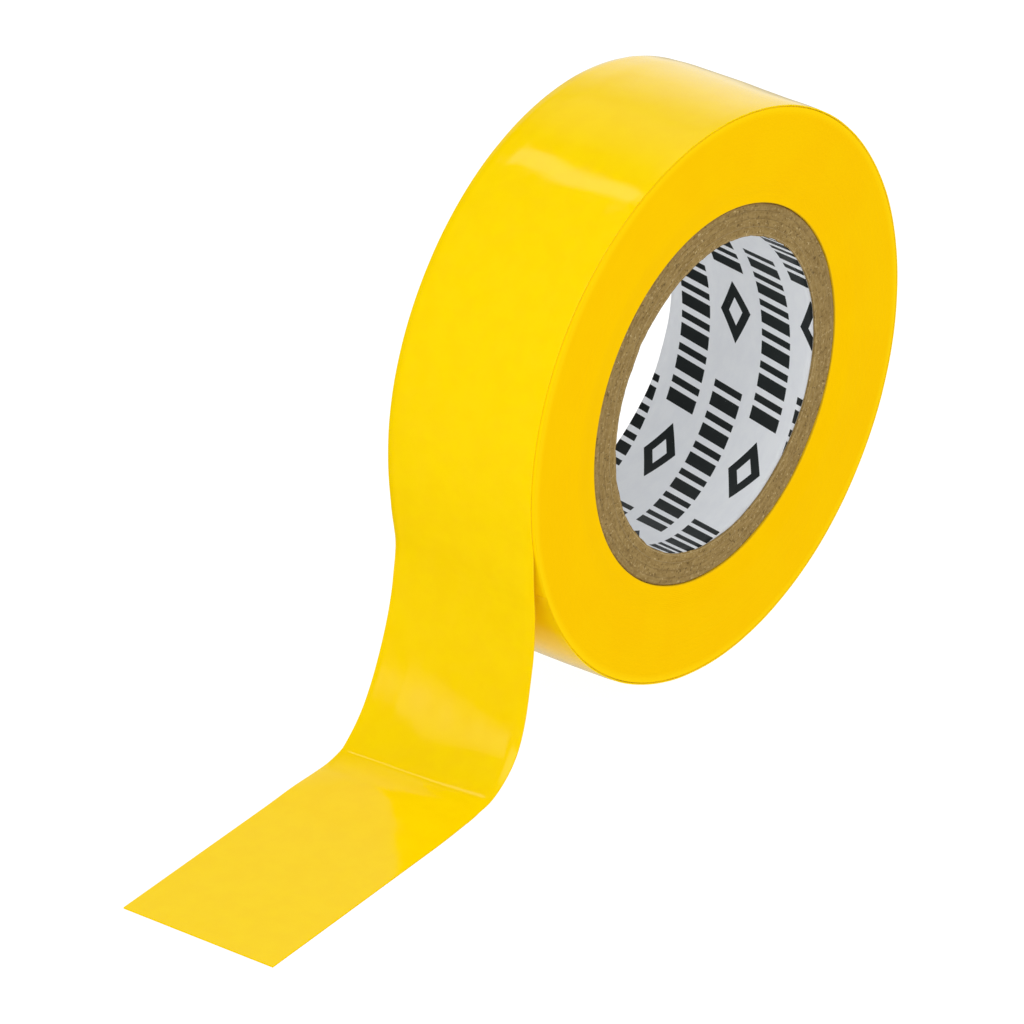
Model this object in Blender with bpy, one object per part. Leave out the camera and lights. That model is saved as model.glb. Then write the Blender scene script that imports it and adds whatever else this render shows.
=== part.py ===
"""Roll of PVC electrical tape standing on its edge, with its free end drawn down and stuck to the table.

Metres, +Z up. The table is z = 0, the roll's axis runs along Y and the free end points along -X.
The origin is on the table, under the middle of the whole object's box.
"""

from math import ceil, cos, pi, radians, sin

import bmesh
import bpy

MM = 0.001

# The tape: one strip of film with an adhesive coat on the side that faces the core.
TAPE_WIDTH = 19.0 * MM
FILM_THICKNESS = 0.15 * MM
ADHESIVE_THICKNESS = 0.03 * MM
BOND_GAP = 0.01 * MM
TAPE_THICKNESS = FILM_THICKNESS + BOND_GAP + ADHESIVE_THICKNESS

# The roll, measured from its axis.
ROLL_RADIUS = 30.95 * MM
CORE_RADIUS = 20.4 * MM
BORE_RADIUS = 16.95 * MM
LINER_THICKNESS = 0.12 * MM
CORE_PLIES = 4
CORE_INSET = 0.3 * MM  # how far each end of the core sits below the side faces of the tape
RUNNING_GAP = 0.05 * MM  # between the wound turns and the outermost turn, which slide on each other

# The drawn tail, from the peel line down to the table: tangent arcs as (radius, angle turned).
PEEL_ANGLE = radians(197)
HANGING_BENDS = (
    (4.0 * MM, radians(26)),
    (45.0 * MM, radians(20)),
    (14.5 * MM, radians(20)),
    (4.0 * MM, radians(25)),
)
FREE_END_LENGTH = 32.5 * MM
HINGE_GAP = 0.3 * MM
TURN_START_SETBACK = 1.5 * MM  # the outermost turn begins this far past the peel line, clear of the tail

# The rings are polygons with one flat side down, so the roll stands on a side.
RING_SIDES = 96
RING_STEP = 2 * pi / RING_SIDES
TAIL_STEP = 0.6 * MM  # along the drawn tail
SHARP_EDGE = radians(30)

ROLL_AXIS_Z = ROLL_RADIUS * cos(RING_STEP / 2)


def landing_bend():
    """The last bend's radius and angle, which bring the tail level at the table."""
    height = ROLL_AXIS_Z + ROLL_RADIUS * sin(PEEL_ANGLE)
    heading = PEEL_ANGLE + pi / 2
    for radius, turn in HANGING_BENDS:
        height -= radius * (cos(heading) - cos(heading - turn))
        heading -= turn
    return (height - TAPE_THICKNESS) / (1 + cos(heading)), heading - pi


BENDS = (*HANGING_BENDS, landing_bend())
FOLD_AT = sum(radius * turn for radius, turn in BENDS)  # along the tail from the peel line


def tape_at(distance):
    """The tape's outer surface at this distance past the peel line: x from the roll's axis, z and heading."""
    on_roll = min(distance, 0) / ROLL_RADIUS
    angle = PEEL_ANGLE + on_roll
    x = ROLL_RADIUS * cos(angle)
    z = ROLL_AXIS_Z + ROLL_RADIUS * sin(angle)
    heading = angle + pi / 2
    left = max(distance, 0)
    for radius, turn in BENDS:
        turned = min(left / radius, turn)
        x += radius * (sin(heading) - sin(heading - turned))
        z -= radius * (cos(heading) - cos(heading - turned))
        heading -= turned
        left -= radius * turned
    return x + left * cos(heading), z + left * sin(heading), heading


# The axis stands where the whole object's box is centred on the origin.
ROLL_AXIS_X = -(tape_at(FOLD_AT + FREE_END_LENGTH)[0] + ROLL_RADIUS) / 2


def ring_angles(start, end):
    """The corners of the ring polygon between two angles, with the two angles themselves."""
    first = ceil(start / RING_STEP - 0.5)
    inside = []
    for side in range(first, first + RING_SIDES + 1):
        angle = (side + 0.5) * RING_STEP
        if start < angle < end:
            inside.append(angle)
    return [start, *inside, end]


def ring_sections(outer, inner, angles):
    """One (outer point, inner point) pair at each angle round the roll's axis."""
    sections = []
    for angle in angles:
        across = (cos(angle), sin(angle))
        sections.append(
            tuple((ROLL_AXIS_X + r * across[0], ROLL_AXIS_Z + r * across[1]) for r in (outer, inner))
        )
    return sections


def tail_sections(start, end, outer, inner):
    """The same pairs along the tail, at these depths below the tape's outer surface."""
    count = ceil((end - start) / TAIL_STEP)
    sections = []
    for i in range(count + 1):
        x, z, heading = tape_at(start + (end - start) * i / count)
        across = (-sin(heading), cos(heading))
        sections.append(
            tuple((ROLL_AXIS_X + x + d * across[0], z + d * across[1]) for d in (outer, inner))
        )
    return sections


def make_material(name, colour, roughness):
    material = bpy.data.materials.new(name)
    material.diffuse_color = (*colour, 1)
    material.use_nodes = True
    shader = material.node_tree.nodes["Principled BSDF"]
    shader.inputs["Base Color"].default_value = (*colour, 1)
    shader.inputs["Roughness"].default_value = roughness
    shader.inputs["Metallic"].default_value = 0
    return material


def make_layer(name, sections, width, material, pivot, closed=False):
    """A band of this width along Y whose side outline is the sections, parented to its joint's empty."""
    bm = bmesh.new()
    corners = []
    for outer, inner in sections:
        points = [(x, y, z) for x, z in (outer, inner) for y in (-width / 2, width / 2)]
        corners.append([bm.verts.new(point) for point in points])
    following = corners[1:] + corners[:1] if closed else corners[1:]
    for here, there in zip(corners, following):
        for a, b in ((0, 1), (1, 3), (3, 2), (2, 0)):
            bm.faces.new((here[a], here[b], there[b], there[a]))
    if not closed:
        for outer_near, outer_far, inner_near, inner_far in (corners[0], corners[-1]):
            bm.faces.new((outer_near, outer_far, inner_far, inner_near))
    bmesh.ops.recalc_face_normals(bm, faces=bm.faces)
    bmesh.ops.translate(bm, verts=bm.verts, vec=-pivot.location)
    mesh = bpy.data.meshes.new(name)
    bm.to_mesh(mesh)
    bm.free()
    mesh.shade_smooth()
    mesh.set_sharp_from_angle(angle=SHARP_EDGE)
    mesh.materials.append(material)
    layer = bpy.data.objects.new(name, mesh)
    layer.parent = pivot
    bpy.context.scene.collection.objects.link(layer)
    return layer


def make_pivot(name, x, z):
    pivot = bpy.data.objects.new(name, None)
    pivot.empty_display_size = TAPE_WIDTH
    pivot.location = (x, 0, z)
    bpy.context.scene.collection.objects.link(pivot)
    return pivot


def tail_pivot(name, distance):
    x, z, _ = tape_at(distance)
    return make_pivot(name, ROLL_AXIS_X + x, z)


def make_core(pivot, paper, kraft):
    """The printed liner on the bore, and the core's kraft plies around it."""
    width = TAPE_WIDTH - 2 * CORE_INSET
    angles = ring_angles(0, 2 * pi)[1:-1]
    liner_outer = BORE_RADIUS + LINER_THICKNESS
    make_layer(
        "core_liner", ring_sections(liner_outer, BORE_RADIUS, angles), width, paper, pivot, closed=True
    )
    pitch = (CORE_RADIUS - liner_outer) / CORE_PLIES
    for ply in range(CORE_PLIES):
        outer = liner_outer + (ply + 1) * pitch
        sections = ring_sections(outer, outer - pitch + BOND_GAP, angles)
        make_layer(f"core_ply_{ply + 1}", sections, width, kraft, pivot, closed=True)


def make_wound_turns(pivot, film):
    """All the turns under the outermost one, as one solid ring on the core."""
    outer = ROLL_RADIUS - TAPE_THICKNESS - RUNNING_GAP
    angles = ring_angles(0, 2 * pi)[1:-1]
    sections = ring_sections(outer, CORE_RADIUS + BOND_GAP, angles)
    make_layer("wound_turns", sections, TAPE_WIDTH, film, pivot, closed=True)


def make_outermost_turn(pivot, film, adhesive):
    """The turn that is next to come off, from just past the peel line round to the peel line."""
    start = PEEL_ANGLE - 2 * pi + TURN_START_SETBACK / ROLL_RADIUS
    end = PEEL_ANGLE - HINGE_GAP / 2 / ROLL_RADIUS
    angles = ring_angles(start, end)
    under_film = ROLL_RADIUS - FILM_THICKNESS
    film_sections = ring_sections(ROLL_RADIUS, under_film, angles)
    coat_sections = ring_sections(under_film - BOND_GAP, ROLL_RADIUS - TAPE_THICKNESS, angles)
    make_layer("outer_turn_film", film_sections, TAPE_WIDTH, film, pivot)
    make_layer("outer_turn_adhesive", coat_sections, TAPE_WIDTH, adhesive, pivot)


def make_stretch(name, start, end, pivot, film, adhesive):
    """A stretch of the drawn tail: its film and the adhesive coat under it."""
    film_sections = tail_sections(start, end, 0, FILM_THICKNESS)
    coat_sections = tail_sections(start, end, FILM_THICKNESS + BOND_GAP, TAPE_THICKNESS)
    make_layer(f"{name}_film", film_sections, TAPE_WIDTH, film, pivot)
    make_layer(f"{name}_adhesive", coat_sections, TAPE_WIDTH, adhesive, pivot)


def main():
    for leftover in list(bpy.data.objects):
        bpy.data.objects.remove(leftover)

    film = make_material("yellow_pvc_film", (0.95, 0.62, 0.0), 0.2)
    adhesive = make_material("rubber_adhesive", (0.85, 0.5, 0.02), 0.45)
    kraft = make_material("kraft_board", (0.26, 0.17, 0.08), 0.9)
    paper = make_material("printed_liner_paper", (0.72, 0.74, 0.76), 0.45)

    roll_axis = make_pivot("roll_axis", ROLL_AXIS_X, ROLL_AXIS_Z)
    peel_line = tail_pivot("peel_line", 0)
    fold_line = tail_pivot("fold_line", FOLD_AT)

    make_core(roll_axis, paper, kraft)
    make_wound_turns(roll_axis, film)
    make_outermost_turn(roll_axis, film, adhesive)
    make_stretch("tail", HINGE_GAP / 2, FOLD_AT - HINGE_GAP / 2, peel_line, film, adhesive)
    free_end = FOLD_AT + FREE_END_LENGTH
    make_stretch("free_end", FOLD_AT + HINGE_GAP / 2, free_end, fold_line, film, adhesive)


main()
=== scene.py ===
"""Looks of the electrical tape roll: yellow PVC tape on a kraft core, its free end drawn to the table."""

from math import ceil, cos, pi, radians, sin, sqrt, tan

import bpy
import numpy as np
from mathutils import Matrix, Vector


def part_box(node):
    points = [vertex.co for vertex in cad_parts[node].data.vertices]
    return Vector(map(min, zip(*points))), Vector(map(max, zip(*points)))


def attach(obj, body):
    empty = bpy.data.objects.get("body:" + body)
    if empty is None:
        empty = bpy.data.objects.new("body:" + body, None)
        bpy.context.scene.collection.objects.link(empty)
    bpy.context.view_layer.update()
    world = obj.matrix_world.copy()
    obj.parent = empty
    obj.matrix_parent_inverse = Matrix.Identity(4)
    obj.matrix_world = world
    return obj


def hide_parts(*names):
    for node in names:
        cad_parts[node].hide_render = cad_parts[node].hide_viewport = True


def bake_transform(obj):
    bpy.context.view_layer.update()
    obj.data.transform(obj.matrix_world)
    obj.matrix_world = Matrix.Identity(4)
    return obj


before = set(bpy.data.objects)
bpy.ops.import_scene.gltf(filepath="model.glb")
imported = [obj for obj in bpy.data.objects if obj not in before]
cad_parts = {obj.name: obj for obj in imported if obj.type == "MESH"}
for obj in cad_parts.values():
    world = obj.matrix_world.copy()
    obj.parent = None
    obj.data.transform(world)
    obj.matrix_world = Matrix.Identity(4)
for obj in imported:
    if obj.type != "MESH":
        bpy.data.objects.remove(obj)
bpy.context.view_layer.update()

MM = 0.001

# Read from the frame.
_, turns_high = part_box("wound_turns")
rim_low, rim_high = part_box("outer_turn_film")
core_low, core_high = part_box("core_ply_4")
liner_low, liner_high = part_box("core_liner")
free_end_low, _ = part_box("free_end_film")

HALF_WIDTH = turns_high.y
AXIS_X = (rim_low.x + rim_high.x) / 2
AXIS_Z = (rim_low.z + rim_high.z) / 2
ROLL_RADIUS = (rim_high.z - rim_low.z) / 2
CORE_RADIUS = (core_high.z - core_low.z) / 2
CORE_HALF_WIDTH = core_high.y
LINER_OUTSIDE = (liner_high.z - liner_low.z) / 2
FREE_END_X = free_end_low.x

# The tape, as in part.py.
FILM = 0.15 * MM
ADHESIVE = 0.03 * MM
BOND_GAP = 0.01 * MM
TAPE = FILM + BOND_GAP + ADHESIVE
LINER = 0.12 * MM
PLIES = 4

# The drawn tail, as in part.py: tangent arcs as (radius, angle turned), from the peel line to the table.
PEEL_ANGLE = radians(197)
HANGING_BENDS = (
    (4.0 * MM, radians(26)),
    (45.0 * MM, radians(20)),
    (14.5 * MM, radians(20)),
    (4.0 * MM, radians(25)),
)

rng = np.random.default_rng(7)


# ---------------------------------------------------------------- shapes


def smooth(value):
    """0 below 0, 1 above 1 and a smooth step between, for numbers and arrays."""
    value = np.clip(value, 0, 1)
    return value * value * (3 - 2 * value)


def ripple(seed, count, lowest, highest):
    """A smooth seeded function of two lengths in metres, between about -1 and 1, made of plane waves."""
    draw = np.random.default_rng(seed)
    wave = 2 * pi / draw.uniform(lowest, highest, count)
    turn = draw.uniform(0, pi, count)
    phase = draw.uniform(0, 2 * pi, count)

    def at(u, v):
        total = 0
        for k, a, p in zip(wave, turn, phase):
            total = total + np.sin(k * (u * cos(a) + v * sin(a)) + p)
        return total / sqrt(count)

    return at


def make_mesh(name, points, faces, normals=None):
    mesh = bpy.data.meshes.new(name)
    mesh.from_pydata([tuple(p) for p in points], [], faces)
    mesh.shade_smooth()
    if normals is not None:
        mesh.normals_split_custom_set(normals)
    mesh.update()
    piece = bpy.data.objects.new(name, mesh)
    bpy.context.scene.collection.objects.link(piece)
    return piece


def ring_piece(name, radius, y, angles):
    """A closed ring: radius and y are (angles, outline) arrays, and the outline runs round the section."""
    rows, columns = radius.shape
    across, up = np.cos(angles)[:, None], np.sin(angles)[:, None]
    points = np.stack([AXIS_X + radius * across, y, AXIS_Z + radius * up], axis=2).reshape(-1, 3)
    faces = []
    for i in range(rows):
        here, there = i * columns, (i + 1) % rows * columns
        for j in range(columns):
            k = (j + 1) % columns
            faces.append((here + j, there + j, there + k, here + k))
    return make_mesh(name, points, faces)


def rim_drop(y):
    """How far the outer turns sag inwards near the two rims of the roll: more at the far one."""
    far = 0.2 * smooth((y / MM - 5.6) / 3.9) + 0.24 * np.maximum(y / MM - 8.3, 0) ** 2
    near = 0.06 * smooth((-y / MM - 8.4) / 1.1)
    return (far + near) * MM


def sagged(radius, y):
    """A radius in the wound turns, with the rims' sag, which fades towards the core."""
    share = smooth((radius - CORE_RADIUS) / (ROLL_RADIUS - CORE_RADIUS))
    return radius - rim_drop(y) * share


# ---------------------------------------------------------------- the tape's path


def landing_bend():
    """The last bend's radius and angle, which bring the tail level at the table."""
    height = AXIS_Z + ROLL_RADIUS * sin(PEEL_ANGLE)
    heading = PEEL_ANGLE + pi / 2
    for radius, turn in HANGING_BENDS:
        height -= radius * (cos(heading) - cos(heading - turn))
        heading -= turn
    return (height - TAPE) / (1 + cos(heading)), heading - pi


BENDS = (*HANGING_BENDS, landing_bend())
FOLD_AT = sum(radius * turn for radius, turn in BENDS)


def tape_at(distance):
    """The film's outer surface this far past the peel line, below 0 on the roll: x, z and heading."""
    angle = PEEL_ANGLE + min(distance, 0) / ROLL_RADIUS
    x = AXIS_X + ROLL_RADIUS * cos(angle)
    z = AXIS_Z + ROLL_RADIUS * sin(angle)
    heading = angle + pi / 2
    left = max(distance, 0)
    for radius, turn in BENDS:
        turned = min(left / radius, turn)
        x += radius * (sin(heading) - sin(heading - turned))
        z -= radius * (cos(heading) - cos(heading - turned))
        heading -= turned
        left -= radius * turned
    return x + left * cos(heading), z + left * sin(heading), heading


def tape_point(distance):
    x, z, _ = tape_at(distance)
    return (x, 0, z)


FREE_END_EXTRA = 0.7 * MM  # the photo's free end is this much longer than the CAD's
TAIL_END = FOLD_AT + tape_at(FOLD_AT)[0] - FREE_END_X + FREE_END_EXTRA

pull_marks = ripple(11, 9, 9 * MM, 26 * MM)
hand_marks = ripple(13, 12, 3.5 * MM, 9 * MM)
fine_marks = ripple(12, 14, 1.6 * MM, 4 * MM)


def hump(distance, middle, before, after):
    """1 at the middle, and smoothly down to 0 this far before it and after it (all in mm)."""
    away = distance / MM - middle
    return smooth(1 - np.maximum(-away / before, away / after))


def surface_lift(distance, y):
    """How far the film's surface stands off its path, outwards. The numbers are in mm."""
    on_roll = 1 - smooth(distance / (5 * MM))
    flat = smooth((distance - FOLD_AT) / (6 * MM))
    # The tape peels askew: its near edge comes off the roll, and turns at the fold, before its far edge.
    near = (
        hump(distance, 0.8, 6, 8)
        - 1.07 * hump(distance, 17, 10.4, 8.3)
        + 0.26 * hump(distance, 24.8, 3.2, 8)
    )
    far = (
        0.3 * hump(distance, 0.5, 6, 6)
        - 0.15 * hump(distance, 9, 7, 13)
        + 0.16 * hump(distance, 28, 8, 9)
    )
    share = (1 - y / HALF_WIDTH) / 2
    askew = (near * share + far * (1 - share) + 0.15 * hump(distance, 0.9, 2.3, 2.3)) * MM
    marks = (
        0.016 * pull_marks(distance, y)
        + 0.011 * hand_marks(distance, y)
        + 0.0016 * fine_marks(distance, y)
    )
    dent = 0.08 * hump(distance, -40.6, 3, 2.8) * hump(y, -7.2, 2.6, 1.8)
    # On the tail the near edge also curls down a little.
    curl = 0.25 * np.maximum(-y / MM - 8.5, 0) ** 2 * hump(distance, 19, 8, 6)
    crease = 0.05 * hump(distance, 23.45, 0.9, 0.9) * smooth((y / MM + 8) / 9)
    held = rim_drop(y) * (0.35 + 0.65 * on_roll) * (1 - flat)
    return askew - held + (dent - curl - crease + marks * (1 - 0.8 * flat)) * MM


def edges_at(distance):
    """Where the tape's near and far edges are along Y: set back at the near rim, then askew on the table."""
    set_back = 0.03 + 0.42 * smooth((distance / MM + 62) / 40)
    swing = max(distance - FOLD_AT, 0) / MM
    near = -HALF_WIDTH + (set_back - 0.038 * swing) * MM
    far = HALF_WIDTH + (0.22 * smooth((distance / MM - 15) / 10) - 0.03 * swing) * MM
    return near, far


def section_outline(thickness, half_width, edge):
    """A flat section with round edges, as (y, depth) pairs that start on the outer face at the near edge."""
    flat = np.linspace(-half_width + edge, half_width - edge, 49)
    round_steps = [radians(a) for a in (22.5, 45, 67.5, 90, 112.5, 135, 157.5)]
    far = [(half_width - edge + edge * sin(a), thickness / 2 * (1 - cos(a))) for a in round_steps]
    near = [(-y, thickness - depth) for y, depth in far]
    top = [(y, 0.0) for y in flat]
    bottom = [(-y, thickness) for y in flat]
    return np.array(top + far + bottom + near)


EDGE_ROUNDING = 0.04 * MM
TAPERED_TO = 0.04  # the share of its thickness that a tapered end keeps


def tape_piece(name, start, end, step, top, thickness, half_width, taper=0.0):
    """A closed stretch of film or adhesive along the tape's path, at the depth top below its surface."""
    edge = min(thickness / 2, EDGE_ROUNDING)
    outline = section_outline(thickness, half_width, edge)
    count = ceil((end - start) / step)
    spacing = (end - start) / count
    places = start + spacing * np.arange(-1, count + 2)  # one more at each end, for the normals there
    grid = np.zeros((len(places), len(outline), 3))
    for i, place in enumerate(places):
        x, z, heading = tape_at(place)
        across = np.array([-sin(heading), cos(heading)])
        thin = smooth((place - start) / taper) if taper else 1.0
        sunk = (1 - thin) * (TAPE - top) * (1 - TAPERED_TO)
        depth = top + sunk + outline[:, 1] * (TAPERED_TO + (1 - TAPERED_TO) * thin)
        depth = depth - surface_lift(place, outline[:, 0])
        near, far = edges_at(place)
        grid[i, :, 0] = x + depth * across[0]
        grid[i, :, 1] = (near + far) / 2 + outline[:, 0] * (far - near) / (2 * HALF_WIDTH)
        grid[i, :, 2] = z + depth * across[1]
    grid[:, :, 2] = np.maximum(grid[:, :, 2], 0)
    along = grid[2:] - grid[:-2]
    around = np.roll(grid, -1, axis=1) - np.roll(grid, 1, axis=1)
    normal = np.cross(around[1:-1], along)
    normal /= np.linalg.norm(normal, axis=2)[:, :, None]
    grid = grid[1:-1]
    rows, columns = grid.shape[:2]
    faces, normals = [], []
    for i in range(rows - 1):
        for j in range(columns):
            k = (j + 1) % columns
            faces.append((i * columns + j, i * columns + k, (i + 1) * columns + k, (i + 1) * columns + j))
            normals += [normal[i, j], normal[i, k], normal[i + 1, k], normal[i + 1, j]]
    first = tuple(range(columns))[::-1]
    last = tuple((rows - 1) * columns + j for j in range(columns))
    for cap, way in ((first, -1), (last, 1)):
        x, z, heading = tape_at(start if way < 0 else end)
        faces.append(cap)
        normals += [(way * cos(heading), 0, way * sin(heading))] * columns
    return make_mesh(name, grid.reshape(-1, 3), faces, normals)


# ---------------------------------------------------------------- materials


class Nodes:
    """Short calls for one material's node tree."""

    def __init__(self, name, colour, roughness, ior=1.5, specular=0.5):
        self.material = bpy.data.materials.new(name)
        self.material.use_nodes = True
        self.material.diffuse_color = (*colour, 1)
        self.tree = self.material.node_tree
        self.shader = self.tree.nodes["Principled BSDF"]
        self.shader.inputs["Base Color"].default_value = (*colour, 1)
        self.shader.inputs["Roughness"].default_value = roughness
        self.shader.inputs["IOR"].default_value = ior
        self.shader.inputs["Specular IOR Level"].default_value = specular

    def put(self, socket, value):
        if isinstance(value, bpy.types.NodeSocket):
            self.tree.links.new(value, socket)
        elif socket.type == "RGBA":
            socket.default_value = (*value, 1)
        else:
            socket.default_value = value

    def node(self, kind, settings=(), **inputs):
        made = self.tree.nodes.new(kind)
        for key, value in dict(settings).items():
            setattr(made, key, value)
        for key, value in inputs.items():
            self.put(made.inputs[int(key[1:]) if key[1:].isdigit() else key.replace("_", " ")], value)
        return made

    def maths(self, operation, a, b=0.0, c=0.0):
        made = self.node("ShaderNodeMath", {"operation": operation}, i0=a, i1=b, i2=c)
        return made.outputs[0]

    def noise(self, vector, scale, detail=2.0, roughness=0.5):
        made = self.node("ShaderNodeTexNoise", Scale=scale, Detail=detail, Roughness=roughness, Vector=vector)
        return made.outputs["Fac"]

    def ramp(self, value, low, high, to_low=0.0, to_high=1.0):
        settings = {"interpolation_type": "SMOOTHSTEP"}
        made = self.node("ShaderNodeMapRange", settings, i0=value, i1=low, i2=high, i3=to_low, i4=to_high)
        return made.outputs[0]

    def mix(self, share, a, b):
        made = self.node("ShaderNodeMix", {"data_type": "RGBA"}, i0=share, i6=a, i7=b)
        return made.outputs[2]

    def position(self):
        return self.node("ShaderNodeTexCoord").outputs["Object"]

    def polar(self):
        """(cosine, sine, radius, y) round the roll's axis."""
        here = self.node(
            "ShaderNodeVectorMath", {"operation": "SUBTRACT"}, i0=self.position(), i1=(AXIS_X, 0, AXIS_Z)
        )
        parts = self.node("ShaderNodeSeparateXYZ", i0=here.outputs[0])
        x, y, z = parts.outputs
        squares = self.maths("ADD", self.maths("MULTIPLY", x, x), self.maths("MULTIPLY", z, z))
        radius = self.maths("SQRT", squares)
        return self.maths("DIVIDE", x, radius), self.maths("DIVIDE", z, radius), radius, y

    def vector(self, x, y, z):
        return self.node("ShaderNodeCombineXYZ", i0=x, i1=y, i2=z).outputs[0]

    def bump(self, height, strength, distance):
        made = self.node("ShaderNodeBump", Strength=strength, Distance=distance, Height=height)
        self.put(self.shader.inputs["Normal"], made.outputs[0])

    def colour(self, value):
        self.put(self.shader.inputs["Base Color"], value)

    def roughness(self, value):
        self.put(self.shader.inputs["Roughness"], value)


def film_material():
    """Glossy plasticised PVC: saturated yellow, with a faint mottle and a calendered surface."""
    m = Nodes("film", (0.975, 0.67, 0.0), 0.1, ior=1.5)
    place = m.position()
    mottle = m.noise(place, 420, 3, 0.6)
    m.colour(m.mix(m.ramp(mottle, 0.35, 0.65), (0.97, 0.66, 0.0), (0.98, 0.68, 0.0)))
    m.roughness(m.ramp(m.noise(place, 900, 2), 0.3, 0.7, 0.08, 0.12))
    m.bump(m.noise(place, 2200, 3, 0.6), 0.12, 0.02 * MM)
    return m.material


def edges_material():
    """The slit edges of the turns: deeper yellow, nearly matt, one faint line for each turn, painted shade
    beside the core and a painted sheen near the rim.
    """
    m = Nodes("wound_edges", (0.95, 0.58, 0.0), 0.5, ior=1.45, specular=0.006)
    cosine, sine, radius, _ = m.polar()
    turn = m.maths("DIVIDE", m.maths("SUBTRACT", radius, CORE_RADIUS), TAPE)
    line = m.maths("PINGPONG", turn, 0.5)
    around = m.vector(
        m.maths("MULTIPLY", cosine, 3), m.maths("MULTIPLY", sine, 3), m.maths("MULTIPLY", radius, 2600)
    )
    uneven = m.noise(around, 1.0, 3, 0.6)
    cloud = m.noise(m.position(), 160, 2)
    base = m.mix(m.ramp(cloud, 0.35, 0.65), (0.9, 0.53, 0.0), (0.905, 0.545, 0.0))
    base = m.mix(m.maths("MULTIPLY", m.ramp(uneven, 0.45, 0.75), 0.12), base, (0.86, 0.5, 0.0))
    base = m.mix(m.maths("MULTIPLY", m.ramp(line, 0.12, 0.0), 0.05), base, (0.7, 0.38, 0.0))
    # Painted shade: a dark brownish ring on the turns' edges right beside the core, standing for the shadow
    # in the gap between core and tape.
    painted_core_shade = m.ramp(radius, CORE_RADIUS + 0.16 * MM, CORE_RADIUS + 0.04 * MM)
    base = m.mix(m.maths("MULTIPLY", painted_core_shade, 0.5), base, (0.6, 0.4, 0.02))
    # Painted highlight: the turns' edges are lightened towards the rim, a painted sheen on the rounded outer
    # edge.
    painted_rim_sheen = m.ramp(radius, ROLL_RADIUS - 1.3 * MM, ROLL_RADIUS - 0.3 * MM)
    base = m.mix(m.maths("MULTIPLY", painted_rim_sheen, 0.6), base, (0.965, 0.66, 0.004))
    corner = ROLL_RADIUS - TAPE
    wall = m.ramp(radius, corner - 0.1 * MM, corner - 0.04 * MM)
    m.colour(m.mix(wall, base, (0.98, 0.68, 0.0)))
    m.roughness(m.ramp(wall, 0, 1, 0.5, 0.14))
    m.bump(m.maths("ADD", m.maths("MULTIPLY", uneven, 0.5), m.ramp(line, 0.0, 0.25)), 0.1, 0.01 * MM)
    return m.material


def adhesive_material():
    """The tacky side: the yellow film seen through a thin rubbery coat with a stringy peel texture."""
    m = Nodes("adhesive", (0.93, 0.56, 0.0), 0.34, ior=1.48, specular=0.4)
    place = m.position()
    m.colour(m.mix(m.ramp(m.noise(place, 700, 4, 0.65), 0.35, 0.7), (0.94, 0.58, 0.0), (0.88, 0.49, 0.01)))
    m.roughness(m.ramp(m.noise(place, 1300, 3), 0.3, 0.7, 0.26, 0.44))
    m.bump(m.noise(place, 2600, 3, 0.6), 0.2, 0.03 * MM)
    return m.material


def kraft_material():
    """Sawn kraft board: brown, streaked round the core, with pale fibres and dark pits."""
    m = Nodes("kraft", (0.27, 0.175, 0.075), 0.88, specular=0.2)
    cosine, sine, radius, y = m.polar()

    def around(turns, across):
        depth = m.maths("ADD", m.maths("MULTIPLY", radius, across), m.maths("MULTIPLY", y, across))
        return m.vector(m.maths("MULTIPLY", cosine, turns), m.maths("MULTIPLY", sine, turns), depth)

    streak = m.noise(around(11, 3000), 1.0, 4, 0.65)
    grain = m.noise(m.position(), 2300, 3, 0.65)
    fibre = m.noise(around(50, 2900), 1.0, 3, 0.62)
    pit = m.noise(around(60, 2500), 1.0, 2, 0.5)
    base = m.mix(m.ramp(streak, 0.3, 0.7), (0.205, 0.13, 0.038), (0.31, 0.21, 0.072))
    base = m.mix(m.maths("MULTIPLY", m.ramp(grain, 0.4, 0.66), 0.5), base, (0.36, 0.25, 0.1))
    base = m.mix(m.maths("MULTIPLY", m.ramp(fibre, 0.58, 0.7), 0.62), base, (0.6, 0.46, 0.23))
    base = m.mix(m.maths("MULTIPLY", m.ramp(pit, 0.39, 0.31), 0.7), base, (0.085, 0.05, 0.016))
    ply = (CORE_RADIUS - LINER_OUTSIDE) / PLIES
    seam = m.maths("PINGPONG", m.maths("DIVIDE", m.maths("SUBTRACT", radius, LINER_OUTSIDE), ply), 0.5)
    first = m.ramp(radius, LINER_OUTSIDE + 1.5 * ply, LINER_OUTSIDE + 1.2 * ply)
    pale = m.maths("MULTIPLY", m.ramp(seam, 0.08, 0.0), m.maths("ADD", m.maths("MULTIPLY", first, 0.35), 0.1))
    base = m.mix(pale, base, (0.5, 0.38, 0.2))
    m.colour(base)
    m.bump(m.maths("ADD", m.maths("MULTIPLY", fibre, 0.7), streak), 0.8, 0.09 * MM)
    return m.material


# The liner's plain pattern: rows of leaning bars, wide and thin by turns, and a hollow lozenge after them.
ROW_PITCH = 5.1 * MM
ROW_HEIGHT = 3.6 * MM
ROW_SLANT = radians(6.3)
GROUP_LENGTH = 33.0 * MM
BARS_LENGTH = 20.0 * MM
BAR_PITCH = 3.4 * MM
WIDE_BAR = 1.4 * MM
THIN_BAR = (1.95 * MM, 2.7 * MM)  # where it begins and ends in the pitch
LOZENGE_AT = 28.3 * MM
LOZENGE_HALF_LENGTH = 3.5 * MM
LOZENGE_HALF_HEIGHT = ROW_HEIGHT / 2 + 0.1 * MM
LOZENGE_HOLLOW = 0.45  # the share of it, from its middle, that is left blank
BARS_BEGIN = 0.6 * MM
BAR_LEAN = 0.28
# Where the pattern starts; the whole rows and groups keep the numbers that MODULO gets above 0.
ROWS_SHIFT = 20 * ROW_PITCH + 1.46 * MM
GROUPS_SHIFT = 40 * GROUP_LENGTH + 29.4 * MM


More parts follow.
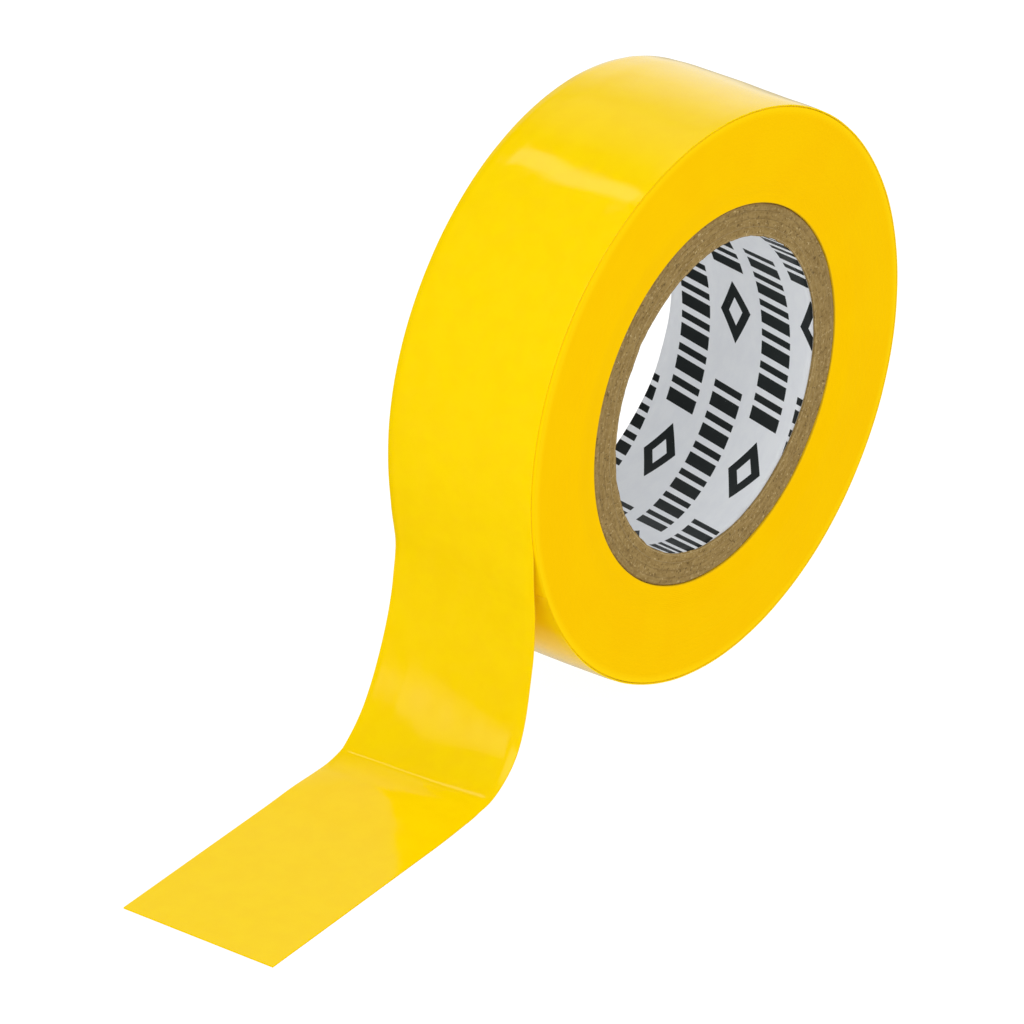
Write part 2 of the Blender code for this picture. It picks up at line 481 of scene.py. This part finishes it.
def liner_material():
    """Satin printed paper: cool light grey with a generic pattern in dark ink."""
    m = Nodes("printed_paper", (0.73, 0.75, 0.78), 0.42, specular=0.4)
    cosine, sine, radius, y = m.polar()
    inner = LINER_OUTSIDE - LINER
    arc = m.maths("MULTIPLY", m.maths("ARCTAN2", sine, cosine), inner)
    level, slant = cos(ROW_SLANT), sin(ROW_SLANT)
    along = m.maths("ADD", m.maths("MULTIPLY", arc, level), m.maths("MULTIPLY", y, slant))
    across = m.maths("SUBTRACT", m.maths("MULTIPLY", y, level), m.maths("MULTIPLY", arc, slant))
    across = m.maths("ADD", across, ROWS_SHIFT)
    row = m.maths("FLOOR", m.maths("DIVIDE", across, ROW_PITCH))
    height = m.maths("SUBTRACT", m.maths("MODULO", across, ROW_PITCH), ROW_PITCH / 2)
    shifted = m.maths("ADD", along, m.maths("MULTIPLY", row, GROUP_LENGTH / 2))
    place = m.maths("MODULO", m.maths("ADD", shifted, GROUPS_SHIFT), GROUP_LENGTH)
    in_row = m.maths("LESS_THAN", m.maths("ABSOLUTE", height), ROW_HEIGHT / 2)
    begun = m.maths("SUBTRACT", place, BARS_BEGIN)
    leaning = m.maths("SUBTRACT", begun, m.maths("MULTIPLY", height, BAR_LEAN))
    after, before = m.maths("GREATER_THAN", leaning, 0.0), m.maths("LESS_THAN", leaning, BARS_LENGTH)
    in_bars = m.maths("MULTIPLY", after, before)
    step = m.maths("MODULO", leaning, BAR_PITCH)
    wide = m.maths("LESS_THAN", step, WIDE_BAR)
    after, before = m.maths("GREATER_THAN", step, THIN_BAR[0]), m.maths("LESS_THAN", step, THIN_BAR[1])
    thin = m.maths("MULTIPLY", after, before)
    bars = m.maths("MULTIPLY", m.maths("MULTIPLY", in_row, in_bars), m.maths("MAXIMUM", wide, thin))
    away = m.maths("ABSOLUTE", m.maths("SUBTRACT", place, LOZENGE_AT))
    reach = m.maths("DIVIDE", away, LOZENGE_HALF_LENGTH)
    rise = m.maths("DIVIDE", m.maths("ABSOLUTE", height), LOZENGE_HALF_HEIGHT)
    spread = m.maths("ADD", reach, rise)
    within, hollow = m.maths("LESS_THAN", spread, 1.0), m.maths("GREATER_THAN", spread, LOZENGE_HOLLOW)
    lozenge = m.maths("MULTIPLY", within, hollow)
    printed = m.maths("MAXIMUM", bars, lozenge)
    inside = m.ramp(radius, inner + 0.06 * MM, inner + 0.03 * MM)
    worn = m.ramp(m.noise(m.position(), 3000, 3, 0.7), 0.7, 0.76, 1.0, 0.75)
    ink = m.maths("MULTIPLY", m.maths("MULTIPLY", printed, inside), worn)
    around = m.vector(
        m.maths("MULTIPLY", cosine, 9), m.maths("MULTIPLY", sine, 9), m.maths("MULTIPLY", y, 1100)
    )
    brushed = m.noise(around, 1.0, 3, 0.6)
    paper = m.mix(m.ramp(brushed, 0.3, 0.7), (0.72, 0.74, 0.77), (0.75, 0.77, 0.79))
    m.colour(m.mix(ink, paper, (0.014, 0.018, 0.018)))
    m.roughness(m.ramp(brushed, 0.3, 0.7, 0.4, 0.5))
    m.bump(brushed, 0.06, 0.02 * MM)
    return m.material


def table_material():
    """Pale and backlit like a light table, so that shadows stay faint."""
    m = Nodes("pale_table", (0.18, 0.18, 0.18), 1.0, specular=0.0)
    m.shader.inputs["Emission Color"].default_value = (1, 1, 1, 1)
    m.shader.inputs["Emission Strength"].default_value = 0.97
    return m.material


# ---------------------------------------------------------------- pieces


def dress(piece, material, body, slot, *nodes):
    """Gives a piece its material and its body, and hides the CAD nodes it stands for. The slot is not used.
    """
    piece.data.materials.append(material)
    if body:
        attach(piece, body)
    if nodes:
        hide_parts(*nodes)


def build_wound_turns(material):
    """One ring whose side faces carry the edges of every single turn."""
    inner = CORE_RADIUS + 0.02 * MM
    outer = ROLL_RADIUS - TAPE - 0.015 * MM
    turns = round((outer - inner) / TAPE)
    pitch = (outer - inner) / turns
    angles = np.linspace(0, 2 * pi, 361)[:-1]
    wander = np.cumsum(rng.normal(0, 0.004, turns))
    wander -= np.linspace(wander[0], wander[-1], turns)
    single = rng.normal(0, 0.002, turns)
    lobes = rng.integers(1, 5, turns)
    phases = rng.uniform(0, 2 * pi, turns)

    def side(way):
        """Radius and y of one side face, from the core outwards: a crown and a groove for each turn."""
        radii, heights = [], []
        for i in range(turns):
            stand = wander[i] + single[i] + 0.002 * np.sin(lobes[i] * angles + phases[i])
            # The last turns round off towards the rim, and the first ones lie deeper beside the core.
            rounding = 0.02 * smooth((i - turns + 4.5) / 4.5) ** 2 + 0.3 * (1 - smooth(i / 16))
            for share, rise in ((0.12, -0.005), (0.5, 0.0), (0.88, -0.005)):
                radii.append(np.full_like(angles, inner + (i + share) * pitch))
                heights.append((stand + rise - rounding) * MM)
        y = way * (HALF_WIDTH - 0.03 * MM + np.array(heights))
        return np.array(radii), y

    near_radii, near_y = side(-1)
    far_radii, far_y = side(1)
    wall = np.linspace(-HALF_WIDTH + 0.4 * MM, HALF_WIDTH - 0.4 * MM, 14)
    outside = (np.full((len(wall), len(angles)), outer), np.repeat(wall[:, None], len(angles), 1))
    inside = (np.full((2, len(angles)), inner), np.repeat(wall[[-1, 0], None], len(angles), 1))
    radius = np.concatenate([near_radii, outside[0], far_radii[::-1], inside[0]])
    y = np.concatenate([near_y, outside[1], far_y[::-1], inside[1]])
    piece = ring_piece("turns_wound", sagged(radius, y).T, y.T, angles)
    dress(piece, material, "roll", "yellow_wound_edges", "wound_turns")


def build_plies(material):
    """The core's kraft plies, with sawn, slightly ragged ends."""
    ply = (CORE_RADIUS - LINER_OUTSIDE) / PLIES
    angles = np.linspace(0, 2 * pi, 541)[:-1]
    torn = ripple(31, 26, 0.5 * MM, 3.2 * MM)
    deep = ripple(32, 12, 4 * MM, 16 * MM)
    for number in range(PLIES):
        inner = LINER_OUTSIDE + number * ply + 0.002 * MM
        outer = LINER_OUTSIDE + (number + 1) * ply - 0.002 * MM
        last = number == PLIES - 1
        shares = np.array([0.0, 0.06, 0.2, 0.35, 0.5, 0.65, 0.8, 0.94, 1.0])
        edge = np.array([-0.03, -0.01, 0, 0, 0, 0, 0, -0.01, -0.03])
        if last:
            edge[-3:] = (-0.05, -0.16, -0.3)

        def side(way, number=number, edge=edge, inner=inner, outer=outer):
            radius = np.repeat((inner + shares * (outer - inner))[:, None], len(angles), 1)
            arc = angles[None, :] * radius
            ragged = 0.028 * torn(arc * 0.35, radius * 2 + 0.01 * way) + 0.03 * deep(arc, radius + 0.02 * way)
            y = way * (CORE_HALF_WIDTH + (edge[:, None] + 0.02 - 0.03 * number + ragged) * MM)
            if number == 0 and way < 0:  # the cut pushed a burr over the liner's end
                burr = np.array([[0.2], [0.19], [0.08]]) * MM
                along = angles * inner
                wear = 1 + 0.2 * torn(along * 0.6, 0 * angles) + 0.15 * deep(along, 0 * angles)
                radius[:3] -= burr * wear
            wall = way * (CORE_HALF_WIDTH - np.array([[1.2], [0.28]]) * MM)
            radius = np.concatenate([np.full((2, len(angles)), inner), radius])
            return radius, np.concatenate([wall + 0 * y[:2], y])

        near_radius, near_y = side(-1)
        far_radius, far_y = side(1)
        radius = np.concatenate([near_radius, far_radius[::-1]])
        y = np.concatenate([near_y, far_y[::-1]])
        piece = ring_piece(f"ply_{number + 1}", radius.T, y.T, angles)
        dress(piece, material, "roll", "kraft_board", f"core_ply_{number + 1}")


def build_liner(material):
    """The printed paper on the bore, with a slightly uneven cut edge."""
    angles = np.linspace(0, 2 * pi, 361)[:-1]
    uneven = ripple(41, 10, 2 * MM, 12 * MM)
    swell = ripple(42, 8, 7 * MM, 24 * MM)
    depth = np.linspace(-1, 1, 25)[:, None]
    arc = (angles * LINER_OUTSIDE)[None, :]
    ragged = 0.03 * MM * uneven(arc, 0 * depth + 0.003 * np.sign(depth))
    reach = CORE_HALF_WIDTH + ragged - 0.3 * MM * (depth < 0)  # the near end lies a little inside the core
    y = depth * reach
    bulge = 0.02 * MM * (1 + swell(arc, y)) / 2
    inner = LINER_OUTSIDE - LINER + bulge * 0.9
    outer = np.full_like(y, LINER_OUTSIDE)
    radius = np.concatenate([inner[::-1], outer])
    y = np.concatenate([y[::-1], y])
    piece = ring_piece("liner", radius.T, y.T, angles)
    dress(piece, material, "roll", "printed_liner_paper", "core_liner")


TURN_START = -2 * pi * ROLL_RADIUS + 1.5 * MM
SEAM_ON_ROLL = -3.0 * MM
SEAM_ON_TAIL = 13.0 * MM
PEEL_BLEND_END = 9.0 * MM
FOLD_BLEND_BEFORE = 1.8 * MM
FOLD_BLEND_AFTER = 2.4 * MM


def build_tape(film, adhesive):
    """The outermost turn and the drawn tail, in three stretches of film and adhesive that meet end to end."""
    stretches = (
        ("outer_turn", TURN_START, SEAM_ON_ROLL, 0.36 * MM, 14 * MM),
        ("tail", SEAM_ON_ROLL, SEAM_ON_TAIL, 0.18 * MM, 0.0),
        ("free_end", SEAM_ON_TAIL, TAIL_END, 0.22 * MM, 0.0),
    )
    coats = (
        ("film", 0.0, FILM, HALF_WIDTH, film, "yellow_pvc_film"),
        ("adhesive", FILM + BOND_GAP, ADHESIVE, HALF_WIDTH - 0.005 * MM, adhesive, "rubber_adhesive"),
    )
    for stretch, start, end, step, taper in stretches:
        for coat, top, thickness, half_width, material, slot in coats:
            piece = tape_piece(f"{stretch}_{coat}_look", start, end, step, top, thickness, half_width, taper)
            body = "outermost_turn" if stretch == "outer_turn" else None
            dress(piece, material, body, slot, f"{stretch}_{coat}")
            if stretch == "tail":
                tape_point(0)
                tape_point(PEEL_BLEND_END)
                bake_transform(piece)
            if stretch == "free_end":
                before = tape_point(FOLD_AT - FOLD_BLEND_BEFORE)
                after = tape_point(FOLD_AT + FOLD_BLEND_AFTER)
                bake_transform(piece)


# ---------------------------------------------------------------- stage, light and camera


TABLE_HALF = 3.0
TABLE_DROP = 0.02 * MM  # just below the tape, so that the two surfaces don't coincide


def build_table():
    half = TABLE_HALF
    corners = [(-half, -half, 0), (half, -half, 0), (half, half, 0), (-half, half, 0)]
    table = make_mesh("table", np.array(corners) + (0, 0, -TABLE_DROP), [(0, 1, 2, 3)])
    table.data.materials.append(table_material())
    table.visible_glossy = False


def direction(azimuth, elevation):
    """A unit vector: azimuth from +Y towards +X, elevation above the table."""
    a, e = radians(azimuth), radians(elevation)
    return Vector((sin(a) * cos(e), cos(a) * cos(e), sin(e)))


def area_light(name, target, azimuth, elevation, distance, size, radiance, seen_in_gloss=False, spread=180):
    """A rectangular softbox that faces a point. It lights the diffuse colour or the gloss, never both."""
    data = bpy.data.lights.new(name, "AREA")
    data.shape = "RECTANGLE"
    data.size, data.size_y = size
    data.energy = radiance * pi * data.size * data.size_y
    if spread < 180:  # a grid narrows the beam and makes it stronger along its axis
        half = radians(spread / 2)
        data.spread = 2 * half
        data.energy *= (tan(half) - half) / tan(half)
    light = bpy.data.objects.new(name, data)
    toward = direction(azimuth, elevation)
    light.rotation_euler = toward.to_track_quat("Z", "Y").to_euler()
    light.location = Vector(target) + toward * distance
    light.visible_camera = False
    light.visible_glossy = seen_in_gloss
    light.visible_diffuse = not seen_in_gloss
    bpy.context.scene.collection.objects.link(light)


SKY_FOR_DIFFUSE = 0.87
SKY_SEEN_EXTRA = 0.3  # added where the camera looks straight at the background


def build_world():
    """White all round for the diffuse light; mirrors see a dark studio with white panels in it."""
    world = bpy.data.worlds.new("studio")
    world.use_nodes = True
    tree = world.node_tree
    background = tree.nodes["Background"]

    def maths(operation, a, b=0.0, c=0.0):
        made = tree.nodes.new("ShaderNodeMath")
        made.operation = operation
        for socket, value in zip(made.inputs, (a, b, c)):
            if isinstance(value, bpy.types.NodeSocket):
                tree.links.new(value, socket)
            else:
                socket.default_value = value
        return made.outputs[0]

    def ramp(value, low, high, to_low=0.0, to_high=1.0):
        made = tree.nodes.new("ShaderNodeMapRange")
        made.interpolation_type = "SMOOTHSTEP"
        tree.links.new(value, made.inputs[0])
        for socket, number in zip(list(made.inputs)[1:5], (low, high, to_low, to_high)):
            socket.default_value = number
        return made.outputs[0]

    parts = tree.nodes.new("ShaderNodeSeparateXYZ")
    tree.links.new(tree.nodes.new("ShaderNodeTexCoord").outputs["Generated"], parts.inputs[0])
    x, y, z = parts.outputs
    azimuth = maths("MULTIPLY", maths("ARCTAN2", x, y), 180 / pi)  # from +Y towards +X
    elevation = maths("MULTIPLY", maths("ARCSINE", z), 180 / pi)

    def panel(left, right, low, high, radiance):
        """Each side is a pair: where the panel begins and where it is full."""
        wide = maths("MULTIPLY", ramp(azimuth, *left), ramp(azimuth, *right))
        tall = maths("MULTIPLY", ramp(elevation, *low), ramp(elevation, *high))
        return maths("MULTIPLY", maths("MULTIPLY", wide, tall), radiance)

    top = panel((3, 7), (20, 15), (49, 52), (66, 62), 1.25)
    haze = panel((24, 50), (80, 60), (26, 36), (75, 65), 0.4)
    right = panel((34, 54), (90, 72), (-30, -12), (80, 60), 1.0)
    right = maths("MULTIPLY", right, ramp(elevation, 46, 4, 0.1, 1.0))
    low = panel((0, 45), (90, 72), (-80, -70), (32, 20), 0.5)
    behind = panel((-178, -170), (-70, -90), (20, 30), (72, 60), 0.9)
    ahead, below = maths("MAXIMUM", top, right), maths("MAXIMUM", low, behind)
    mirrored = maths("MAXIMUM", maths("MAXIMUM", ahead, below), haze)
    path = tree.nodes.new("ShaderNodeLightPath")
    glossy = maths("MULTIPLY", path.outputs["Is Glossy Ray"], mirrored)
    other = maths("SUBTRACT", 1.0, path.outputs["Is Glossy Ray"])
    seen = maths("ADD", maths("MULTIPLY", path.outputs["Is Camera Ray"], SKY_SEEN_EXTRA), SKY_FOR_DIFFUSE)
    strength = maths("ADD", glossy, maths("MULTIPLY", other, seen))
    tree.links.new(strength, background.inputs["Strength"])
    background.inputs["Color"].default_value = (1, 1, 1, 1)
    world.cycles.sampling_method = "NONE"
    bpy.context.scene.world = world


def build_lights():
    build_world()
    roll = (AXIS_X, 0, AXIS_Z)
    tail = (AXIS_X - 33.0 * MM, 0, 7.5 * MM)
    area_light("key", roll, 215, 66, 1.4, (1.0, 0.8), 1.1)
    area_light("fill_front", roll, 228, 24, 1.6, (0.9, 0.9), 0.2)
    area_light("fill_left", roll, 240, 40, 0.16, (0.12, 0.12), 0.42)
    near_tail = (AXIS_X - 33.5 * MM, -7.5 * MM, 5.5 * MM)  # the tail's near edge, just above the fold
    area_light("strip_near", near_tail, 305, 22, 0.05, (0.012, 0.024), 0.8, seen_in_gloss=True, spread=46)
    area_light("strip_left", tail, 303, 15, 0.12, (0.07, 0.034), 0.72, seen_in_gloss=True, spread=15)


CAMERA_AZIMUTH = 52.19
CAMERA_ELEVATION = 29.91
CAMERA_ROLL = -0.65
CAMERA_DISTANCE = 1.6806
CAMERA_ASIDE = 13.46 * MM  # how far right of the picture's middle the roll's centre stands
CAMERA_ABOVE = 14.64 * MM
CAMERA_LENS = 579.0


def build_camera():
    a, e = radians(CAMERA_AZIMUTH), radians(CAMERA_ELEVATION)
    forward = Vector((sin(a) * cos(e), cos(a) * cos(e), -sin(e)))
    level = Vector((cos(a), -sin(a), 0))
    up = level.cross(forward)
    tilt = radians(CAMERA_ROLL)
    right = cos(tilt) * level + sin(tilt) * up
    above = cos(tilt) * up - sin(tilt) * level
    middle = Vector((AXIS_X, 0, AXIS_Z))
    place = middle - forward * CAMERA_DISTANCE - right * CAMERA_ASIDE - above * CAMERA_ABOVE
    data = bpy.data.cameras.new("camera")
    data.lens = CAMERA_LENS
    data.sensor_width = 36
    data.clip_start = 0.05
    camera = bpy.data.objects.new("camera", data)
    camera.matrix_world = Matrix((right, above, -forward)).transposed().to_4x4()
    camera.location = place
    bpy.context.scene.collection.objects.link(camera)
    bpy.context.scene.camera = camera


def main():
    film = film_material()
    adhesive = adhesive_material()
    build_wound_turns(edges_material())
    build_plies(kraft_material())
    build_liner(liner_material())
    build_tape(film, adhesive)
    build_table()
    build_lights()
    build_camera()
    bpy.context.scene.view_settings.view_transform = "Standard"


main()
